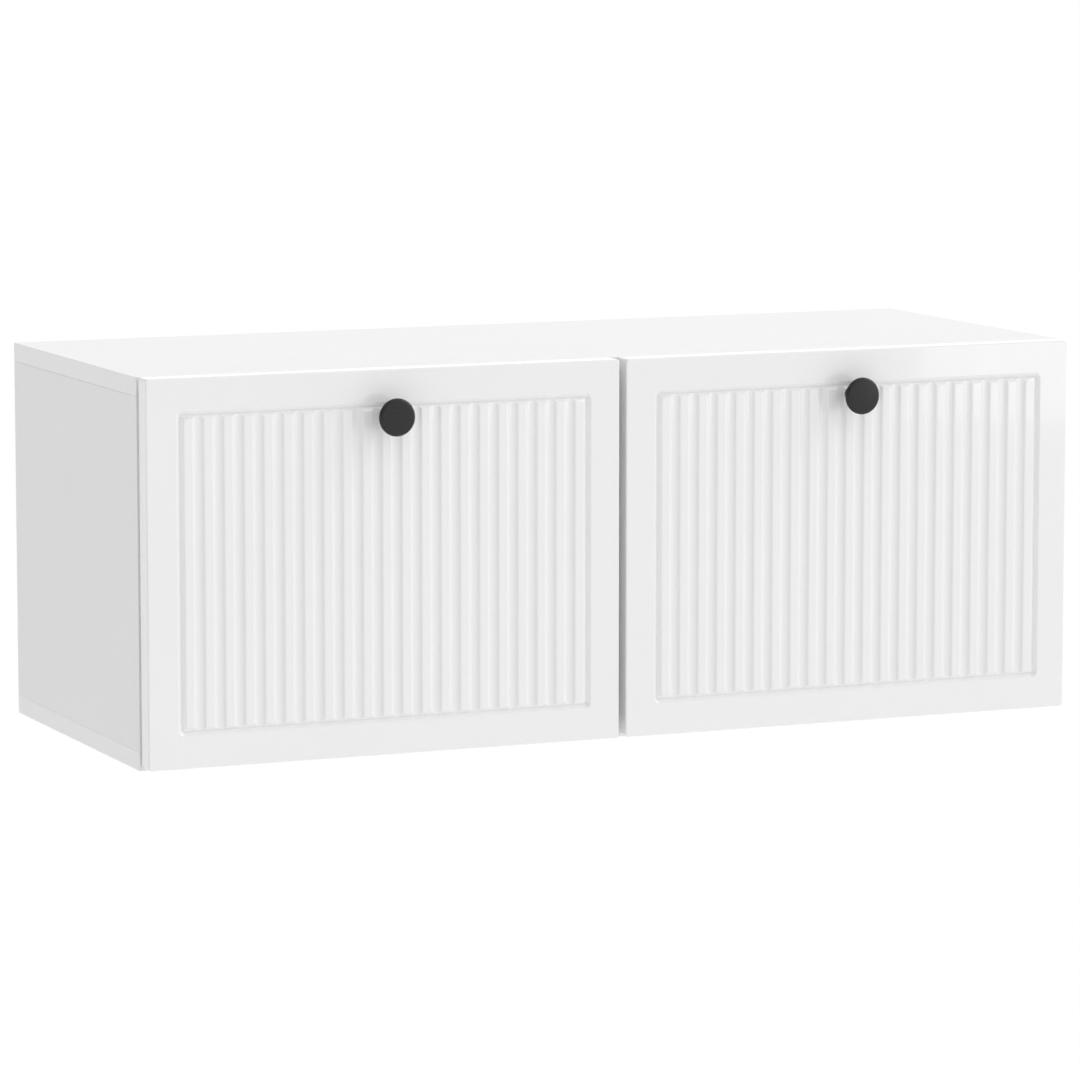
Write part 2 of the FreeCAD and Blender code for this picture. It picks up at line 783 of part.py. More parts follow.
def hinges():
    arms, feet, adjusters, foot_screws = [], [], [], []
    for side, sign in SIDES.items():
        cups, pins, cup_screws = [], [], []
        for x in hinge_places(sign):
            arms.append(hinge_arm(x))
            feet.append(hinge_foot(x))
            for place in ("-adjuster_front", "-adjuster_rear"):
                shank = "arm_thickness + foot_thickness - 0.3"
                adjusters.append(screw(
                    "z", "adjuster_head", "adjuster_head_radius", shank,
                    "adjuster_radius", (x, place, ARM_TOP),
                ))
            cups.append(hinge_cup(x))
            pins.append(hinge_pin(x))
            for screw_x in around(x, "cup_screw_offset"):
                seat = (screw_x, f"{DOOR_BACK} + wing_thickness", CUP_Z)
                shank = "screw_depth - 1 + wing_thickness"
                cup_screws.append(screw("y", "1.3", "screw_head_radius", shank, "cup_screw_radius", seat))
        keep(f"{side}_hinge_cups", cups)
        keep(f"{side}_hinge_pins", pins)
        keep(f"{side}_hinge_cup_screws", cup_screws)
    for x in foot_screw_places():
        seat = (x, "-foot_wing_place", ARM_UNDER)
        shank = "foot_screw_length + foot_thickness"
        foot_screws.append(screw("z", "screw_head", "screw_head_radius", shank, "screw_radius", seat))
    keep("hinge_arms", arms)
    keep("hinge_mounting_plates", feet)
    keep("hinge_adjusting_screws", adjusters)
    keep("hinge_plate_screws", foot_screws)


# ---- friction stays ------------------------------------------------------------------------------


def stay_base_screw_heights():
    return around(GUIDE_Z, "base_screw_offset")


def bracket_screw_places():
    """Distance from the middle of the cabinet and Z of the two screws of a door bracket."""
    x = f"{ROD_X} - bracket_screw_place"
    return [(x, z) for z in around(PIN_Z, "bracket_screw_offset")]


def stay_bracket(sign):
    lug_far = f"{ROD_X} - bracket_lug + bracket_lug_thickness"
    plate = block(
        mirrored(sign, f"{ROD_X} - bracket_inner", lug_far),
        (DOOR_BACK, f"{DOOR_BACK} + plate_thickness"),
        around(PIN_Z, "bracket_half_height"),
    )
    lug_x = mirrored(sign, f"{ROD_X} - bracket_lug", lug_far)
    lug = block(lug_x, (DOOR_BACK, PIN_Y), around(PIN_Z, "stay_eye_radius"))
    lug_end = cylinder("x", "stay_eye_radius", "bracket_lug_thickness", (lug_x[0], PIN_Y, PIN_Z))
    shoulder = "bracket_lug - bracket_lug_thickness - stay_eye_half - 0.2"
    inner_end = f"{shoulder} + 2 * stay_eye_half + 0.4"
    pin_profile = [
        (0, -1),
        (4, -1),
        (4, shoulder),
        ("stay_pin_radius", shoulder),
        ("stay_pin_radius", inner_end),
        (4, inner_end),
        (4, f"{inner_end} + 1.5"),
        (0, f"{inner_end} + 1.5"),
    ]
    out = "x" if sign > 0 else "-x"
    pin = lathe(out, pin_profile, (signed(sign, lug_far), PIN_Y, PIN_Z), "bracket_pin")
    holes = []
    for x, z in bracket_screw_places():
        holes.append(cylinder("y", "screw_radius", "plate_thickness", (signed(sign, x), DOOR_BACK, z)))
    return cut(fuse([plate, lug, lug_end, pin]), holes)


def stays():
    base_screws = []
    for side, sign in SIDES.items():
        out, inward = ("x", "-x") if sign > 0 else ("-x", "x")
        rod_x = signed(sign, ROD_X)
        keep(f"{side}_stay_bracket", stay_bracket(sign))
        screws = []
        for x, z in bracket_screw_places():
            seat = (signed(sign, x), f"{DOOR_BACK} + plate_thickness", z)
            shank = "screw_depth - 1 + plate_thickness"
            screws.append(screw("y", "screw_head", "screw_head_radius", shank, "screw_radius", seat))
        keep(f"{side}_stay_bracket_screws", screws)

        start = (f"{rod_x} - stay_eye_half", PIN_Y, PIN_Z)
        eye = cylinder("x", "stay_eye_radius", "2 * stay_eye_half", start)
        shaft = along_rod("stay_rod_radius", "stay_rod_length - stay_rod_start", "stay_rod_start", rod_x)
        radius = "stay_pin_radius + stay_pin_clearance"
        start = (f"{rod_x} - stay_eye_half - 4", PIN_Y, PIN_Z)
        hole = cylinder("x", radius, "2 * stay_eye_half + 8", start)
        keep(f"{side}_stay_rod", cut(fuse([eye, shaft]), [hole]))
        collar = along_rod("stay_stop_radius", "stay_stop_length", "stay_stop_start", rod_x)
        bore = along_rod("stay_rod_radius", "stay_stop_length + 2", "stay_stop_start - 1", rod_x)
        keep(f"{side}_stay_rod_stop", cut(collar, [bore]))

        inner_face = signed(sign, f"{ROD_X} - barrel_inner")
        outer_face = signed(sign, f"{ROD_X} + barrel_outer")
        inner_end, outer_end = (inner_face, GUIDE_Y, GUIDE_Z), (outer_face, GUIDE_Y, GUIDE_Z)
        barrel = cylinder(out, "barrel_radius", "barrel_inner + barrel_outer", inner_end)
        chord = "2 * stay_radius * sin(stay_guide_angle / 2 - stay_pin_angle / 2)"
        rod_bore = along_rod("barrel_bore", "4 * barrel_radius", f"{chord} - 2 * barrel_radius", rod_x)
        radius = "trunnion_radius + trunnion_clearance"
        socket = cylinder(inward, radius, "barrel_outer - trunnion_bore_end", outer_end)
        thread = cylinder(out, "brake_radius", "barrel_inner", inner_end)
        keep(f"{side}_stay_guide", cut(barrel, [rod_bore, socket, thread]))
        shank = "barrel_inner - barrel_bore - 0.1"
        keep(f"{side}_stay_brake_screw", screw(
            inward, "brake_head", "brake_head_radius", shank, "brake_radius", inner_end
        ))

        plate_x = mirrored(sign, f"{INNER} - plate_thickness", INNER)
        plate = block(plate_x, around(GUIDE_Y, "base_half_width"), around(GUIDE_Z, "base_half_height"))
        face = signed(sign, f"{INNER} - plate_thickness")
        length = "stay_inset - plate_thickness - trunnion_end"
        trunnion = cylinder(inward, "trunnion_radius", length, (face, GUIDE_Y, GUIDE_Z))
        holes = []
        for z in stay_base_screw_heights():
            holes.append(cylinder(out, "screw_radius", "plate_thickness", (face, GUIDE_Y, z)))
            base_screws.append(screw(
                inward, "screw_head", "screw_head_radius", "screw_depth + plate_thickness",
                "screw_radius", (face, GUIDE_Y, z),
            ))
        keep(f"{side}_stay_base", cut(fuse([plate, trunnion]), holes))
    keep("stay_base_screws", base_screws)


# ---- catches -------------------------------------------------------------------------------------


def catch_screw_places():
    places = []
    for sign in SIDES.values():
        places.extend(around(signed(sign, DOOR_MIDDLE), "catch_screw_offset"))
    return places


def catch_screw_bores():
    bores = []
    for x in catch_screw_places():
        bores.append(cylinder("z", "screw_radius", "screw_depth", (x, CATCH_Y, UNDER_TOP)))
    return bores


def catches():
    housings, magnets, screws = [], [], []
    low = f"({UNDER_TOP} - catch_drop)"
    for side, sign in SIDES.items():
        x = signed(sign, DOOR_MIDDLE)
        magnet_z = (f"{low} + magnet_margin", f"{UNDER_TOP} - magnet_margin")
        magnet = block(around(x, "magnet_half"), ("-magnet_front", "-magnet_rear"), magnet_z, "magnet")
        seat = block(around(x, "magnet_half"), ("-magnet_front", "-magnet_rear"), magnet_z)
        magnets.append(magnet)
        holes = [seat]
        for screw_x in around(x, "catch_screw_offset"):
            holes.append(cylinder("z", "screw_radius", "catch_drop", (screw_x, CATCH_Y, low)))
            screws.append(screw(
                "-z", "screw_head", "screw_head_radius", "catch_drop + screw_depth", "screw_radius",
                (screw_x, CATCH_Y, low),
            ))
        housing = block(around(x, "catch_half"), ("-catch_front", "-catch_rear"), (low, UNDER_TOP))
        housings.append(cut(housing, holes))

        strike_y = (DOOR_BACK, f"{DOOR_BACK} + strike_thickness")
        strike = block(around(x, "strike_half"), strike_y, ("strike_low", "strike_high"))
        holes, strike_screws = [], []
        for screw_x in around(x, "strike_screw_offset"):
            z = "strike_low / 2 + strike_high / 2"
            holes.append(cylinder("y", "screw_radius", "strike_thickness", (screw_x, DOOR_BACK, z)))
            strike_screws.append(screw(
                "y", "strike_screw_head", "screw_head_radius", "strike_screw_depth + strike_thickness",
                "screw_radius", (screw_x, strike_y[1], z),
            ))
        keep(f"{side}_strike_plate", cut(strike, holes))
        keep(f"{side}_strike_screws", strike_screws)
    keep("catch_housings", housings)
    keep("catch_magnets", magnets)
    keep("catch_screws", screws)


# ---- doors ---------------------------------------------------------------------------------------


def bore_body(body, axis, radius, length, start, name):
    feature = body.newObject("PartDesign::SubtractiveCylinder", name)
    return set_cylinder(feature, axis, radius, length, start)


def door(side, sign):
    thickness = DIMENSIONS["door_thickness"]
    back_y = -DIMENSIONS["depth"] - DIMENSIONS["door_gap"]
    front_y = back_y - thickness
    low_z = DIMENSIONS["door_lift"]
    x = signed(sign, DOOR_MIDDLE)
    outline = rectangle(around(x, "door_width / 2"), ("door_lift", DOOR_TOP))
    body = prism("y", outline, DOOR_FRONT, DOOR_BACK, f"{side}_door")
    round_edges(body, "door_edge_round", lambda p, e: close(p.y, (front_y + back_y) / 2))
    round_edges(body, "door_edge_round", lambda p, e: close(p.y, front_y))
    round_edges(body, "door_inner_round", lambda p, e: close(p.y, back_y) and close(p.z, low_z))

    def field(grow):
        across = around(x, f"door_width / 2 - field_side + ({grow})")
        return rectangle(across, (f"door_lift + field_end - ({grow})", f"{DOOR_TOP} - field_end + ({grow})"))

    before = body.Shape.Volume
    sketch = sketch_on(body, "y", DOOR_FRONT)
    draw_polygon(sketch, field("vee_half_width"))
    recess = body.newObject("PartDesign::Pocket", "field_recess")
    recess.Profile = sketch
    bind(recess, "Length", "vee_depth")
    bind(recess, "TaperAngle", f"-({WALL_SLOPE})")
    depth = DIMENSIONS["vee_depth"]
    round_edges(body, "vee_corner", lambda p, e: close(p.y, front_y + depth / 2) and e.Length < 3 * depth)
    sketch = sketch_on(body, "y", DOOR_FRONT)
    draw_polygon(sketch, field("-vee_half_width"))
    island = body.newObject("PartDesign::Pad", "field_island")
    island.Profile = sketch
    bind(island, "Length", "vee_depth")
    island.Reversed = True
    bind(island, "TaperAngle", WALL_SLOPE)
    doc.recompute()

    span = "(flute_count - 1) * flute_pitch"
    start = (f"{x} - {span} / 2", f"{DOOR_FRONT} + flute_depth - flute_radius", "door_lift + field_end")
    flute = bore_body(body, "z", "flute_radius", "door_height - 2 * field_end", start, "flute")
    doc.recompute()
    pattern = body.newObject("PartDesign::LinearPattern", "flutes")
    pattern.Originals = [flute]
    pattern.Direction = ([line for line in body.Origin.OriginFeatures if line.Role == "X_Axis"][0], [""])
    bind(pattern, "Length", span)
    bind(pattern, "Occurrences", "flute_count")
    body.Tip = pattern
    doc.recompute()

    for hinge_x in hinge_places(sign):
        bore_body(body, "-y", "cup_radius", "cup_depth", (hinge_x, DOOR_BACK, CUP_Z), "cup_bore")
        for screw_x in around(hinge_x, "cup_screw_offset"):
            start = (screw_x, DOOR_BACK, CUP_Z)
            bore_body(body, "-y", "cup_screw_radius", "screw_depth - 1", start, "cup_screw_bore")
    for screw_x, z in bracket_screw_places():
        start = (signed(sign, screw_x), DOOR_BACK, z)
        bore_body(body, "-y", "screw_radius", "screw_depth - 1", start, "bracket_screw_bore")
    for screw_x in around(x, "strike_screw_offset"):
        start = (screw_x, DOOR_BACK, "strike_low / 2 + strike_high / 2")
        bore_body(body, "-y", "screw_radius", "strike_screw_depth", start, "strike_screw_bore")
    start = (x, DOOR_BACK, "door_lift + knob_height_on_door")
    bore_body(body, "-y", "knob_screw_clearance", "door_thickness", start, "knob_screw_bore")
    doc.recompute()
    if body.Shape.Volume > 0.97 * before:
        sys.exit(f"{side}_door: its grooves or bores are missing")
    keep(f"{side}_door", body)


def knob(side, x):
    z = "door_lift + knob_height_on_door"
    profile = [
        (0, "knob_bore_depth"),
        ("knob_bore", "knob_bore_depth"),
        ("knob_bore", 0),
        ("knob_base", 0),
        ("knob_base", 1.5),
        ("knob_neck", "0.24 * knob_length"),
        ("knob_neck", "0.42 * knob_length"),
        ("knob_head", "0.76 * knob_length"),
        ("knob_head", "0.85 * knob_length"),
        ("knob_rim", "0.965 * knob_length"),
        (0, "knob_length"),
    ]
    body = lathe("-y", profile, (x, DOOR_FRONT, z), f"{side}_knob")
    neck, head, rim = (DIMENSIONS[name] for name in ("knob_neck", "knob_head", "knob_rim"))
    length = DIMENSIONS["knob_length"]
    round_edges(body, 4, lambda p, e: close(math.hypot(p.x, p.y), neck))
    around_head = 2 * math.pi * head
    round_edges(body, 1, lambda p, e: close(math.hypot(p.x, p.y), head) and close(e.Length, around_head))
    round_edges(body, 2, lambda p, e: close(math.hypot(p.x, p.y), rim) and close(p.z, 0.965 * length))
    keep(f"{side}_knob", body)
    seat = (x, DOOR_BACK, z)
    shank = "door_thickness + knob_bore_depth - 0.5"
    keep(f"{side}_knob_screw", screw("y", 2.5, 4, shank, "knob_bore", seat))


def bumpers(side, sign):
    pads = []
    for place in ("bumper_inner", "bumper_outer"):
        profile = [
            (0, 0),
            ("bumper_radius", 0),
            ("bumper_radius", "0.5 * bumper_thickness"),
            ("0.75 * bumper_radius", "bumper_thickness"),
            (0, "bumper_thickness"),
        ]
        pads.append(lathe("y", profile, (signed(sign, place), DOOR_BACK, "bumper_place"), "bumper"))
    keep(f"{side}_door_bumpers", pads)


def doors():
    for side, sign in SIDES.items():
        door(side, sign)
        knob(side, signed(sign, DOOR_MIDDLE))
        bumpers(side, sign)


# ---- build, check and write ----------------------------------------------------------------------


def write_parts():
    doc.recompute()
    for thing in doc.Objects:
        if "Invalid" in thing.State or "Error" in thing.State:
            sys.exit(f"{thing.Label} ({thing.Name}) failed: {thing.State}")
    os.makedirs("parts", exist_ok=True)
    for piece in subparts:
        if piece.Shape.isNull() or not piece.Shape.isValid() or not piece.Shape.Solids:
            sys.exit(f"{piece.Label} has no valid solid")
        piece.Shape.exportStep(os.path.join("parts", f"{piece.Label}.step"))
    print(f"{len(subparts)} parts written")


make_sheet()
carcass()
hangers()
hinges()
stays()
catches()
doors()
write_parts()
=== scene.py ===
import json
import math

import bmesh
import bpy
from mathutils import Matrix, Vector


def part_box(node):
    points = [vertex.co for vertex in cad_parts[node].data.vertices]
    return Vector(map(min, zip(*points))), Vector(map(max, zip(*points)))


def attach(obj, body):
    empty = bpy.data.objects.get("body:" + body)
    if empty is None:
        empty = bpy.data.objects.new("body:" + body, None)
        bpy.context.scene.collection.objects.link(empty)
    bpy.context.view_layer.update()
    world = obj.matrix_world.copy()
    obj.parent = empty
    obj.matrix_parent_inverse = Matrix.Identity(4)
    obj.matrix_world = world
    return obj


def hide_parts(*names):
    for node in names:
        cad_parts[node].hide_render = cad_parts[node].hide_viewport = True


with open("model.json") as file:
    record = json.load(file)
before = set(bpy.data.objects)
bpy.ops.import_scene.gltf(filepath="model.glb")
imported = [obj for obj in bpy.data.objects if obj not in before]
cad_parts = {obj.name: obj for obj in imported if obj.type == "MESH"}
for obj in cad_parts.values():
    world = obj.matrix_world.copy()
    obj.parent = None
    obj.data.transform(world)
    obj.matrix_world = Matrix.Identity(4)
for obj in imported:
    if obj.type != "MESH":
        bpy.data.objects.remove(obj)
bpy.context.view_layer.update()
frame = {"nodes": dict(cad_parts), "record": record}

# Hanging wall cabinet: white satin boards, two high-gloss fluted doors, dark round knobs.
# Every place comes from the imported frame, in metres; doors face -Y, the wall is at y = 0.

MM = 0.001
SIDES = ("left", "right")

# ---- sizes of what Blender shapes itself --------------------------------------------------------

FLUTE_COUNT = 20
FLUTE_PITCH = 17.32 * MM
FLUTE_RIM_RADIUS = 2.3 * MM
FLUTE_SIDE_RADIUS = 3.1 * MM
FLUTE_FLOOR_RADIUS = 11 * MM
FLUTE_WALL_ANGLE = math.radians(50)
FLUTE_FLOOR_ANGLE = math.radians(12)
FLUTE_RIM_STEPS = 4
FLUTE_SIDE_STEPS = 5
FLUTE_FLOOR_STEPS = 3
VEE_HALF_WIDTH = 3.5 * MM
VEE_DEPTH = 2.8 * MM
VEE_CORNER = 2.0 * MM
VEE_RIM = 0.6 * MM
VEE_ROOT = 0.4 * MM
VEE_FLAT = 2 * MM
VEE_ARC_STEPS = 4
FIELD_SIDE = 29.5 * MM
FIELD_END = 30.5 * MM
DOOR_CORNER = 2.4 * MM
DOOR_EDGE_ROUND = 1.3 * MM
DOOR_BACK_ROUND = 0.35 * MM
BACK_ROUND_STEPS = 2
FIELD_LEVELS = (-1, -0.5, 0, 0.5, 1)
FIELD_LEVEL_MARGIN = 3 * VEE_HALF_WIDTH
ARC_STEPS = 6
SHARP_RADIUS = 1e-7
CUP_RADIUS = 17.5 * MM
CUP_DEPTH = 12 * MM
CUP_WING_HALF = 29 * MM
CUP_BORE_STEPS = 96
BORE_OVERSHOOT = MM
KNOB_FOOT = 5.9 * MM
KNOB_NECK = 5.4 * MM
KNOB_STEPS = 128
KNOB_ARC_STEPS = 8
DOOR_CREASE = 35
KNOB_CREASE = 50
FLAT_FACE_WEIGHT = 80
POLE_RADIUS = 1e-6
STRAIGHT = math.radians(179)


# ---- mesh helpers -------------------------------------------------------------------------------


def round_corners(points, radii, steps):
    """An open 2-D outline with its inner corners turned into arcs that touch both neighbours."""
    outline = [Vector(points[0])]
    for index in range(1, len(points) - 1):
        before, corner, after = (Vector(p) for p in points[index - 1:index + 2])
        radius = radii[index]
        into, out = (before - corner).normalized(), (after - corner).normalized()
        angle = into.angle(out)
        if radius == 0 or angle > STRAIGHT:
            outline.append(corner)
            continue
        reach = radius / math.tan(angle / 2)
        centre = corner + (into + out).normalized() * (radius / math.sin(angle / 2))
        first, last = corner + into * reach - centre, corner + out * reach - centre
        sweep = first.angle_signed(last)
        for step in range(steps + 1):
            outline.append(centre + Matrix.Rotation(-sweep * step / steps, 2) @ first)
    outline.append(Vector(points[-1]))
    return outline


def new_piece(name, mesh, body, material, replaced=()):
    piece = bpy.data.objects.new(name, mesh)
    bpy.context.scene.collection.objects.link(piece)
    mesh.materials.append(material)
    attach(piece, body)
    if replaced:
        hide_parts(*replaced)
    return piece


def smooth_with_flat_faces(piece, crease):
    """Smooth shading that keeps big faces flat and creases crisp."""
    mesh = piece.data
    mesh.polygons.foreach_set("use_smooth", [True] * len(mesh.polygons))
    mesh.set_sharp_from_angle(angle=math.radians(crease))
    weighted = piece.modifiers.new("flat_faces", "WEIGHTED_NORMAL")
    weighted.keep_sharp = True
    weighted.weight = FLAT_FACE_WEIGHT


def add_face(mesh, corners):
    unique = list(dict.fromkeys(corners))
    if len(unique) > 2:
        mesh.faces.new(unique)


def lathe(name, profile, steps):
    """A closed surface turned about +Z from (radius, height) points; those on the axis join."""
    mesh = bmesh.new()
    rings = []
    for radius, height in profile:
        if radius < POLE_RADIUS:
            rings.append([mesh.verts.new((0, 0, height))] * steps)
            continue
        ring = []
        for step in range(steps):
            angle = 2 * math.pi * step / steps
            place = (radius * math.cos(angle), radius * math.sin(angle), height)
            ring.append(mesh.verts.new(place))
        rings.append(ring)
    for low, high in zip(rings, rings[1:]):
        for step in range(steps):
            following = (step + 1) % steps
            add_face(mesh, (low[step], low[following], high[following], high[step]))
    bmesh.ops.recalc_face_normals(mesh, faces=mesh.faces)
    data = bpy.data.meshes.new(name)
    mesh.to_mesh(data)
    mesh.free()
    return data


def subtract(piece, cutter):
    """Cuts the cutter out of a piece for good and removes the cutter."""
    boolean = piece.modifiers.new("cut", "BOOLEAN")
    boolean.operation = "DIFFERENCE"
    boolean.solver = "EXACT"
    boolean.object = cutter
    bpy.context.view_layer.update()
    evaluated = piece.evaluated_get(bpy.context.evaluated_depsgraph_get())
    cut_mesh = bpy.data.meshes.new_from_object(evaluated)
    piece.modifiers.clear()
    old = piece.data
    cut_mesh.name = old.name + "_cut"
    piece.data = cut_mesh
    bpy.data.meshes.remove(old)
    bpy.data.objects.remove(cutter)


# ---- materials ----------------------------------------------------------------------------------


class Surface:
    """A Principled material with shorthand ways to add procedural detail in object space."""

    def __init__(self, name, colour, roughness, settings=None):
        self.material = bpy.data.materials.new(name)
        self.material.use_nodes = True
        self.nodes = self.material.node_tree.nodes
        self.links = self.material.node_tree.links
        self.shader = self.nodes["Principled BSDF"]
        self.shader.inputs["Base Color"].default_value = (*colour, 1)
        self.shader.inputs["Roughness"].default_value = roughness
        for socket, value in (settings or {}).items():
            self.shader.inputs[socket].default_value = value
        self.place = self.nodes.new("ShaderNodeTexCoord").outputs["Object"]
        self.normal = None

    def stretched(self, scale):
        mapping = self.nodes.new("ShaderNodeMapping")
        mapping.inputs["Scale"].default_value = scale
        self.links.new(self.place, mapping.inputs["Vector"])
        return mapping.outputs["Vector"]

    def noise(self, scale, detail=2.0, stretch=None):
        texture = self.nodes.new("ShaderNodeTexNoise")
        texture.inputs["Scale"].default_value = scale
        texture.inputs["Detail"].default_value = detail
        place = self.stretched(stretch) if stretch else self.place
        self.links.new(place, texture.inputs["Vector"])
        return texture.outputs["Fac"]

    def spread(self, value, low, high, out_low, out_high):
        node = self.nodes.new("ShaderNodeMapRange")
        limits = {"From Min": low, "From Max": high, "To Min": out_low, "To Max": out_high}
        for socket, number in limits.items():
            node.inputs[socket].default_value = number
        self.links.new(value, node.inputs["Value"])
        return node.outputs["Result"]

    def tint(self, value, other_colour, low=0.35, high=0.65, amount=1.0):
        """Mixes another colour in where value runs from low to high, on top of what is there."""
        mix = self.nodes.new("ShaderNodeMix")
        mix.data_type = "RGBA"
        socket = self.shader.inputs["Base Color"]
        colours = [s for s in mix.inputs if s.type == "RGBA"]
        if socket.is_linked:
            self.links.new(socket.links[0].from_socket, colours[0])
        else:
            colours[0].default_value = socket.default_value
        colours[1].default_value = (*other_colour, 1)
        self.links.new(self.spread(value, low, high, 0, amount), mix.inputs["Factor"])
        self.links.new([s for s in mix.outputs if s.type == "RGBA"][0], socket)
        return self

    def vary_roughness(self, value, rough_low, rough_high, low=0.3, high=0.7):
        roughness = self.spread(value, low, high, rough_low, rough_high)
        self.links.new(roughness, self.shader.inputs["Roughness"])
        return self

    def bump(self, height, distance, strength=1.0):
        """Adds a bump of this height in metres over what is there."""
        node = self.nodes.new("ShaderNodeBump")
        node.inputs["Strength"].default_value = strength
        node.inputs["Distance"].default_value = distance
        self.links.new(height, node.inputs["Height"])
        if self.normal:
            self.links.new(self.normal, node.inputs["Normal"])
        self.normal = node.outputs["Normal"]
        self.links.new(self.normal, self.shader.inputs["Normal"])
        return self


def white_boards():
    s = Surface("satin_melamine", (0.84, 0.84, 0.838), 0.42, {"Specular IOR Level": 0.45})
    s.tint(s.noise(scale=6, detail=3), (0.825, 0.826, 0.828), amount=0.6)
    s.vary_roughness(s.noise(scale=140), rough_low=0.38, rough_high=0.47)
    s.bump(s.noise(scale=700), distance=0.02 * MM, strength=0.5)
    s.bump(s.noise(scale=2600, detail=1), distance=0.01 * MM, strength=0.5)
    return s.material


def gloss_foil():
    coat = {"Coat Weight": 0.7, "Coat Roughness": 0.03}
    s = Surface("high_gloss_foil", (0.86, 0.86, 0.858), 0.14, coat)
    s.tint(s.noise(scale=9), (0.845, 0.846, 0.848), amount=0.5)
    s.vary_roughness(s.noise(scale=60, detail=3), rough_low=0.09, rough_high=0.16)
    s.bump(s.noise(scale=34, detail=1), distance=0.04 * MM, strength=0.35)
    s.bump(s.noise(scale=520, detail=1), distance=0.004 * MM, strength=0.5)
    return s.material


def edging():
    s = Surface("satin_edge_band", (0.87, 0.87, 0.868), 0.36)
    s.tint(s.noise(scale=15), (0.85, 0.85, 0.85), amount=0.5)
    s.vary_roughness(s.noise(scale=200), rough_low=0.32, rough_high=0.42)
    s.bump(s.noise(scale=900), distance=0.02 * MM, strength=0.4)
    return s.material


def back_board():
    s = Surface("lacquered_fibreboard", (0.82, 0.82, 0.81), 0.5)
    s.tint(s.noise(scale=40, detail=5), (0.78, 0.78, 0.765), amount=0.6)
    s.tint(s.noise(scale=900), (0.74, 0.735, 0.71), low=0.6, high=0.75, amount=0.4)
    s.vary_roughness(s.noise(scale=180, detail=3), rough_low=0.44, rough_high=0.6)
    s.bump(s.noise(scale=420, detail=4), distance=0.06 * MM, strength=0.5)
    return s.material


def knob_metal():
    s = Surface("charcoal_knob", (0.021, 0.021, 0.021), 0.26, {"Specular IOR Level": 0.28})
    s.tint(s.noise(scale=90), (0.023, 0.023, 0.023), amount=0.8)
    s.vary_roughness(s.noise(scale=60), rough_low=0.24, rough_high=0.29)
    s.bump(s.noise(scale=700, detail=1), distance=0.002 * MM, strength=0.3)
    return s.material


def plated_metal(name, colour, roughness, streak):
    """Bare plated metal with fine streaks; a low streak scale draws them out along Y."""
    s = Surface(name, colour, roughness, {"Metallic": 1.0})
    s.tint(s.noise(scale=60, detail=4), [c * 0.86 for c in colour], amount=0.6)
    wide_streaks = s.noise(scale=1, detail=3, stretch=(240, streak, 900))
    s.vary_roughness(wide_streaks, rough_low=roughness * 0.8, rough_high=roughness * 1.3)
    fine_streaks = s.noise(scale=1, detail=3, stretch=(500, streak, 1900))
    s.bump(fine_streaks, distance=0.01 * MM, strength=0.5)
    return s.material


def moulded_plastic():
    s = Surface("moulded_white_plastic", (0.83, 0.83, 0.82), 0.38)
    s.tint(s.noise(scale=70, detail=3), (0.80, 0.80, 0.79), amount=0.6)
    s.vary_roughness(s.noise(scale=300, detail=3), rough_low=0.34, rough_high=0.46)
    s.bump(s.noise(scale=1600, detail=3), distance=0.02 * MM, strength=0.5)
    return s.material


def beech():
    s = Surface("beech_dowel", (0.72, 0.53, 0.33), 0.6)
    grain = s.noise(scale=1, detail=5, stretch=(900, 900, 60))
    s.tint(grain, (0.55, 0.38, 0.22), amount=0.7)
    pores = s.noise(scale=1, detail=4, stretch=(1500, 1500, 90))
    s.bump(pores, distance=0.08 * MM, strength=0.6)
    return s.material


def clear_rubber():
    s = Surface("cloudy_rubber", (0.74, 0.75, 0.74), 0.3)
    s.tint(s.noise(scale=300, detail=3), (0.68, 0.69, 0.68), amount=0.7)
    s.vary_roughness(s.noise(scale=500), rough_low=0.24, rough_high=0.4)
    return s.material


MATERIALS = {
    "white_board": white_boards(),
    "gloss_white_foil": gloss_foil(),
    "white_edge_band": edging(),
    "white_back_board": back_board(),
    "knob_metal": knob_metal(),
    "plated_steel": plated_metal("nickel_plate", (0.60, 0.585, 0.56), 0.26, 40),
    "zinc_steel": plated_metal("bright_zinc", (0.66, 0.68, 0.72), 0.32, 60),
    "magnet_steel": plated_metal("pole_plates", (0.36, 0.36, 0.37), 0.4, 30),
    "white_plastic": moulded_plastic(),
    "beech": beech(),
    "clear_rubber": clear_rubber(),
}


# ---- doors and knobs ----------------------------------------------------------------------------


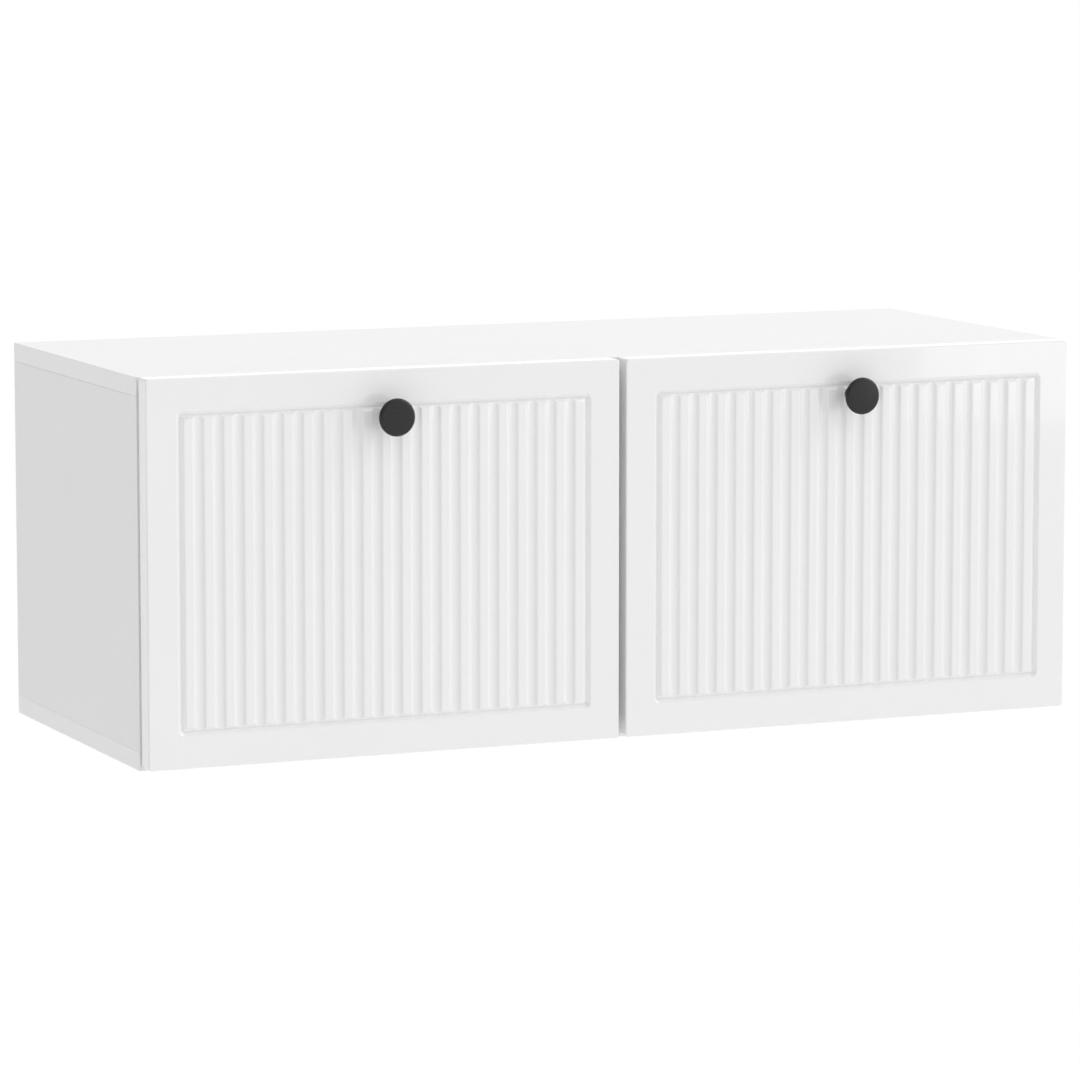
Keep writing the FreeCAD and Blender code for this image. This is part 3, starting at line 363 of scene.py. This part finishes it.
def flute_section():
    """Across the field: (x from the door's middle, depth under the face), three arcs a side."""
    wall, floor_edge = FLUTE_WALL_ANGLE, FLUTE_FLOOR_ANGLE
    rim, side, base = FLUTE_RIM_RADIUS, FLUTE_SIDE_RADIUS, FLUTE_FLOOR_RADIUS
    rim_width, rim_depth = rim * math.sin(wall), rim * (1 - math.cos(wall))
    side_width = side * (math.sin(wall) - math.sin(floor_edge))
    side_depth = side * (math.cos(floor_edge) - math.cos(wall))
    half_width = rim_width + side_width + base * math.sin(floor_edge)
    half = []
    for step in range(FLUTE_RIM_STEPS + 1):
        angle = wall * step / FLUTE_RIM_STEPS
        half.append((half_width - rim * math.sin(angle), rim * (1 - math.cos(angle))))
    for step in range(1, FLUTE_SIDE_STEPS + 1):
        angle = wall + (floor_edge - wall) * step / FLUTE_SIDE_STEPS
        x = half_width - rim_width - side * (math.sin(wall) - math.sin(angle))
        half.append((x, rim_depth + side * (math.cos(angle) - math.cos(wall))))
    for step in range(1, FLUTE_FLOOR_STEPS + 1):
        angle = floor_edge * (1 - step / FLUTE_FLOOR_STEPS)
        depth = rim_depth + side_depth + base * (math.cos(angle) - math.cos(floor_edge))
        half.append((base * math.sin(angle), depth))
    one = [(-x, depth) for x, depth in half] + [(x, depth) for x, depth in reversed(half[:-1])]
    section = []
    for index in range(FLUTE_COUNT):
        middle = (index - (FLUTE_COUNT - 1) / 2) * FLUTE_PITCH
        section.extend((middle + x, depth) for x, depth in one)
    return section


def vee_section():
    """Across the V-groove, outer edge first: (distance outside its centre line, depth)."""
    edge = VEE_HALF_WIDTH + VEE_FLAT
    points = [(edge, 0), (VEE_HALF_WIDTH, 0), (0, VEE_DEPTH), (-VEE_HALF_WIDTH, 0), (-edge, 0)]
    return round_corners(points, (0, VEE_RIM, VEE_ROOT, VEE_RIM, 0), VEE_ARC_STEPS)[1:-1]


class DoorFace:
    """Builds a door from closed loops round its face, all with the same corners and samples."""

    def __init__(self, low, high):
        self.mesh = bmesh.new()
        self.middle = (low + high) / 2
        self.half_width = (high.x - low.x) / 2
        self.half_height = (high.z - low.z) / 2
        self.front, self.back = low.y, high.y
        self.section = flute_section()
        reach = self.half_height - FIELD_END - FIELD_LEVEL_MARGIN
        self.levels = [share * reach for share in FIELD_LEVELS]

    def vertex(self, x, z, depth):
        place = (self.middle.x + x, self.front + depth, self.middle.z + z)
        return self.mesh.verts.new(place)

    def corner(self, half_x, half_z, radius, depth, start):
        """A rounded corner as ARC_STEPS + 1 vertices, or one vertex repeated where it is sharp."""
        sign_x = 1 if math.cos(start + math.pi / 4) > 0 else -1
        sign_z = 1 if math.sin(start + math.pi / 4) > 0 else -1
        if radius < SHARP_RADIUS:
            return [self.vertex(sign_x * half_x, sign_z * half_z, depth)] * (ARC_STEPS + 1)
        vertices = []
        for step in range(ARC_STEPS + 1):
            angle = start + math.pi / 2 * step / ARC_STEPS
            x = sign_x * (half_x - radius) + radius * math.cos(angle)
            z = sign_z * (half_z - radius) + radius * math.sin(angle)
            vertices.append(self.vertex(x, z, depth))
        return vertices

    def loop(self, half_x, half_z, radius, depth, slope=None):
        """One loop, from the lower left; with a slope, the flutes push its ends out and down."""
        quarter = math.pi / 2
        top, bottom = [], []
        for x, flute in self.section:
            push = flute * slope if slope else 0
            sink = flute if slope else 0
            bottom.append(self.vertex(x, -half_z - push, depth + sink))
            top.append(self.vertex(x, half_z + push, depth + sink))
        right = [self.vertex(half_x, z, depth) for z in self.levels]
        left = [self.vertex(-half_x, z, depth) for z in self.levels]
        loop = self.corner(half_x, half_z, radius, depth, 2 * quarter) + bottom
        loop += self.corner(half_x, half_z, radius, depth, 3 * quarter) + right
        loop += self.corner(half_x, half_z, radius, depth, 0) + top[::-1]
        loop += self.corner(half_x, half_z, radius, depth, quarter) + left[::-1]
        return loop

    def join(self, outer, inner):
        count = len(outer)
        for index in range(count):
            following = (index + 1) % count
            add_face(self.mesh, (outer[index], outer[following], inner[following], inner[index]))

    def fill_field(self, loop):
        """The fluted field, between the two ends of the innermost loop."""
        corner, across, up = ARC_STEPS + 1, len(self.section), len(self.levels)
        bottom = [loop[0], *loop[corner:corner + across], loop[corner + across]]
        first_right = 2 * corner + across
        right = loop[first_right:first_right + up]
        first_top = first_right + up + corner
        after_top = first_top + across
        top = [loop[first_top - 1], *loop[first_top:after_top], loop[after_top]][::-1]
        first_left = after_top + corner
        left = loop[first_left:first_left + up][::-1]
        rows = [bottom]
        for level, z in enumerate(self.levels):
            inside = [self.vertex(x, z, depth) for x, depth in self.section]
            rows.append([left[level], *inside, right[level]])
        rows.append(top)
        for low, high in zip(rows, rows[1:]):
            for column in range(len(low) - 1):
                add_face(self.mesh, (low[column], low[column + 1], high[column + 1], high[column]))

    def outer_loop(self, inset, depth):
        """A loop round the door's edge, this far inside it."""
        half_x, half_z = self.half_width - inset, self.half_height - inset
        return self.loop(half_x, half_z, DOOR_CORNER - inset, depth)

    def edge_loops(self):
        """The rounded back edge and then the rounded front edge."""
        loops = []
        thickness = self.back - self.front
        for step in range(BACK_ROUND_STEPS + 1):
            angle = math.pi / 2 * step / BACK_ROUND_STEPS
            inset = DOOR_BACK_ROUND * (1 - math.sin(angle))
            depth = thickness - DOOR_BACK_ROUND * (1 - math.cos(angle))
            loops.append(self.outer_loop(inset, depth))
        for step in range(ARC_STEPS + 1):
            angle = math.pi / 2 * step / ARC_STEPS
            inset = DOOR_EDGE_ROUND * (1 - math.cos(angle))
            depth = DOOR_EDGE_ROUND * (1 - math.sin(angle))
            loops.append(self.outer_loop(inset, depth))
        return loops

    def groove_loops(self):
        """The V-groove, from its outer edge to its inner one, which meets the flutes."""
        loops = []
        line_x, line_z = self.half_width - FIELD_SIDE, self.half_height - FIELD_END
        section = vee_section()
        inner_rim = len(section) - (VEE_ARC_STEPS + 1)
        for index, (outside, depth) in enumerate(section):
            slope = VEE_HALF_WIDTH / VEE_DEPTH if index >= inner_rim else None
            radius = max(outside + VEE_CORNER, 0)
            loops.append(self.loop(line_x + outside, line_z + outside, radius, depth, slope))
        return loops

    def build(self, name):
        loops = self.edge_loops() + self.groove_loops()
        for outer, inner in zip(loops, loops[1:]):
            self.join(outer, inner)
        self.fill_field(loops[-1])
        self.mesh.faces.new(list(dict.fromkeys(loops[0]))[::-1])
        bmesh.ops.recalc_face_normals(self.mesh, faces=self.mesh.faces)
        data = bpy.data.meshes.new(name)
        self.mesh.to_mesh(data)
        self.mesh.free()
        return data


def along_y(mesh, centre):
    """Turns a lathed mesh's +Z to +Y and puts it in place."""
    mesh.transform(Matrix.Translation(centre) @ Matrix.Rotation(-math.pi / 2, 4, "X"))


def cup_bores(side, door_back):
    """Plugs the size of the hinge cups, to cut their bores in the door's inner face."""
    low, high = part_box(f"{side}_hinge_cups")
    bores = []
    for x in (low.x + CUP_WING_HALF, high.x - CUP_WING_HALF):
        centre = Vector((x, door_back, high.z - CUP_RADIUS))
        top, bottom = BORE_OVERSHOOT, -CUP_DEPTH
        profile = [(0, bottom), (CUP_RADIUS, bottom), (CUP_RADIUS, top), (0, top)]
        plug = lathe("cup_bore", profile, CUP_BORE_STEPS)
        along_y(plug, centre)
        bores.append(bpy.data.objects.new("cup_bore", plug))
        bpy.context.scene.collection.objects.link(bores[-1])
    return bores


def door(side):
    low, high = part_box(f"{side}_door")
    mesh = DoorFace(low, high).build(f"{side}_door_leaf")
    foil = "gloss_white_foil"
    piece = new_piece(
        f"{side}_fluted_door", mesh, f"{side}_door_leaf", MATERIALS[foil], (f"{side}_door",)
    )
    for bore in cup_bores(side, high.y):
        subtract(piece, bore)
    smooth_with_flat_faces(piece, DOOR_CREASE)


def knob_outline(head, length):
    """From the foot on the door, round the head, to the middle of its face: (radius, height)."""
    points = [
        (0, 0),
        (KNOB_FOOT, 0),
        (KNOB_NECK, 0.36 * length),
        (0.84 * head, 0.76 * length),
        (head, 0.83 * length),
        (head, 0.89 * length),
        (0.9 * head, 0.965 * length),
        (0, length),
    ]
    rounds = [0, 0.4 * MM, 6 * MM, 1.2 * MM, 0.7 * MM, 0.7 * MM, 2.5 * MM, 0]
    return round_corners(points, rounds, KNOB_ARC_STEPS)


def knob(side):
    low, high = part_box(f"{side}_knob")
    centre = Vector(((low.x + high.x) / 2, high.y, (low.z + high.z) / 2))
    outline = knob_outline((high.x - low.x) / 2, high.y - low.y)
    mesh = lathe(f"{side}_knob", outline, KNOB_STEPS)
    mesh.transform(Matrix.Translation(centre) @ Matrix.Rotation(math.pi / 2, 4, "X"))
    metal = "knob_metal"
    piece = new_piece(
        f"{side}_round_knob", mesh, f"{side}_door_leaf", MATERIALS[metal], (f"{side}_knob",)
    )
    smooth_with_flat_faces(piece, KNOB_CREASE)


for side in SIDES:
    door(side)
    knob(side)

# ---- CAD pieces that stay -----------------------------------------------------------------------

WELD_DISTANCE = 0.002 * MM
EDGE_BREAK_SEGMENTS = 2
EDGE_BREAK_ANGLE = math.radians(40)
# Widths in millimetres.
EDGE_BREAKS = {
    "top_panel": 0.2,
    "bottom_panel": 0.2,
    "centre_partition": 0.3,
    "hinge_arms": 0.35,
    "hinge_mounting_plates": 0.4,
    "catch_housings": 0.8,
    "catch_magnets": 0.2,
    "cam_locks": 0.2,
}
EDGE_BREAKS_EACH_SIDE = {
    "side_panel": 0.35,
    "hanger_body": 0.8,
    "hanger_hook": 0.4,
    "wall_plate": 0.3,
    "stay_bracket": 0.3,
    "stay_base": 0.3,
    "stay_guide": 0.6,
    "stay_rod_stop": 0.6,
    "stay_brake_screw": 0.4,
    "strike_plate": 0.25,
    "hinge_cups": 0.15,
}
for side in SIDES:
    EDGE_BREAKS.update({f"{side}_{name}": width for name, width in EDGE_BREAKS_EACH_SIDE.items()})


def break_edges(node, width):
    """Small rounded edges on a CAD piece; its split corners are joined first."""
    weld = node.modifiers.new("join_corners", "WELD")
    weld.merge_threshold = WELD_DISTANCE
    bevel = node.modifiers.new("edge_break", "BEVEL")
    bevel.width = width
    bevel.segments = EDGE_BREAK_SEGMENTS
    bevel.limit_method = "ANGLE"
    bevel.angle_limit = EDGE_BREAK_ANGLE
    bevel.use_clamp_overlap = True


for row in frame["record"]["subparts"]:
    node = frame["nodes"][row["node"]]
    for material_slot in node.material_slots:
        material_slot.material = MATERIALS[row["material_slot"]]
    if row["node"] in EDGE_BREAKS:
        break_edges(node, EDGE_BREAKS[row["node"]] * MM)


# ---- studio -------------------------------------------------------------------------------------

FLOOR_DROP = 0.75
FLOOR_HALF = 60
FLOOR_SQUARES = 8
CAMERA_LENS = 179.65
CAMERA_AZIMUTH = math.radians(-23.308)
CAMERA_ELEVATION = math.radians(7.531)
CAMERA_AIM = Vector((-0.0185, -0.2076, 0.1560))
CAMERA_DISTANCE = 4.65
CAMERA_FAR = 200
DOME_LEVEL = 0.922
DOME_SLOPE = (0.53, 0.1, 0)
KEY_DIRECTION = (0.75, -0.14, 0.63)
KEY_ENERGY = 0.42
KEY_ANGLE = math.radians(35)
SOFTBOX_PLACE = Vector((2.15, -3.0, 0.35))
SOFTBOX_TARGET = Vector((0, -0.3, 0.2))
SOFTBOX_SIZE = (0.9, 0.9)
SOFTBOX_ENERGY = 3.4
DIFFUSE_BOUNCES = 12
ALL_BOUNCES = 16


def floor():
    mesh = bmesh.new()
    squares = FLOOR_SQUARES
    bmesh.ops.create_grid(mesh, x_segments=squares, y_segments=squares, size=FLOOR_HALF)
    data = bpy.data.meshes.new("studio_floor")
    mesh.to_mesh(data)
    mesh.free()
    piece = bpy.data.objects.new("studio_floor", data)
    piece.location.z = -FLOOR_DROP
    bpy.context.scene.collection.objects.link(piece)
    s = Surface("pale_floor", (1, 1, 1), 0.9, {"Specular IOR Level": 0.0})
    s.tint(s.noise(scale=0.6, detail=3), (0.99, 0.99, 0.99), amount=0.4)
    data.materials.append(s.material)


def direction(azimuth, elevation):
    """Unit vector from the object towards a viewer; azimuth 0 is in front, along -Y."""
    level = math.cos(elevation)
    return Vector((math.sin(azimuth) * level, -math.cos(azimuth) * level, math.sin(elevation)))


def camera():
    back = direction(CAMERA_AZIMUTH, CAMERA_ELEVATION)
    data = bpy.data.cameras.new("studio_camera")
    data.lens = CAMERA_LENS
    data.clip_end = CAMERA_FAR
    piece = bpy.data.objects.new("studio_camera", data)
    piece.location = CAMERA_AIM + back * CAMERA_DISTANCE
    piece.rotation_mode = "QUATERNION"
    piece.rotation_quaternion = back.to_track_quat("Z", "Y")
    bpy.context.scene.collection.objects.link(piece)
    bpy.context.scene.camera = piece


def dome():
    """An even white surround that is brighter on the right than on the left."""
    world = bpy.data.worlds.new("studio_dome")
    world.use_nodes = True
    nodes, links = world.node_tree.nodes, world.node_tree.links
    slope = nodes.new("ShaderNodeVectorMath")
    slope.operation = "DOT_PRODUCT"
    slope.inputs[1].default_value = DOME_SLOPE
    level = nodes.new("ShaderNodeMath")
    level.inputs[1].default_value = DOME_LEVEL
    links.new(nodes.new("ShaderNodeTexCoord").outputs["Generated"], slope.inputs[0])
    links.new(slope.outputs["Value"], level.inputs[0])
    nodes["Background"].inputs["Color"].default_value = (1, 1, 1, 1)
    links.new(level.outputs["Value"], nodes["Background"].inputs["Strength"])
    bpy.context.scene.world = world


def lamp(name, kind, towards, place=(0, 0, 0)):
    """A light at a place that shines along -towards."""
    data = bpy.data.lights.new(name, kind)
    piece = bpy.data.objects.new(name, data)
    piece.location = place
    piece.rotation_mode = "QUATERNION"
    piece.rotation_quaternion = Vector(towards).to_track_quat("Z", "Y")
    piece.visible_camera = False
    bpy.context.scene.collection.objects.link(piece)
    return data


def lights():
    dome()
    key = lamp("overhead", "SUN", KEY_DIRECTION)
    key.energy = KEY_ENERGY
    key.angle = KEY_ANGLE
    softbox = lamp("softbox", "AREA", SOFTBOX_PLACE - SOFTBOX_TARGET, SOFTBOX_PLACE)
    softbox.shape = "RECTANGLE"
    softbox.size, softbox.size_y = SOFTBOX_SIZE
    softbox.energy = SOFTBOX_ENERGY


floor()
camera()
lights()
bpy.context.scene.view_settings.view_transform = "Standard"
bpy.context.scene.view_settings.look = "None"
bpy.context.scene.cycles.diffuse_bounces = DIFFUSE_BOUNCES
bpy.context.scene.cycles.max_bounces = ALL_BOUNCES
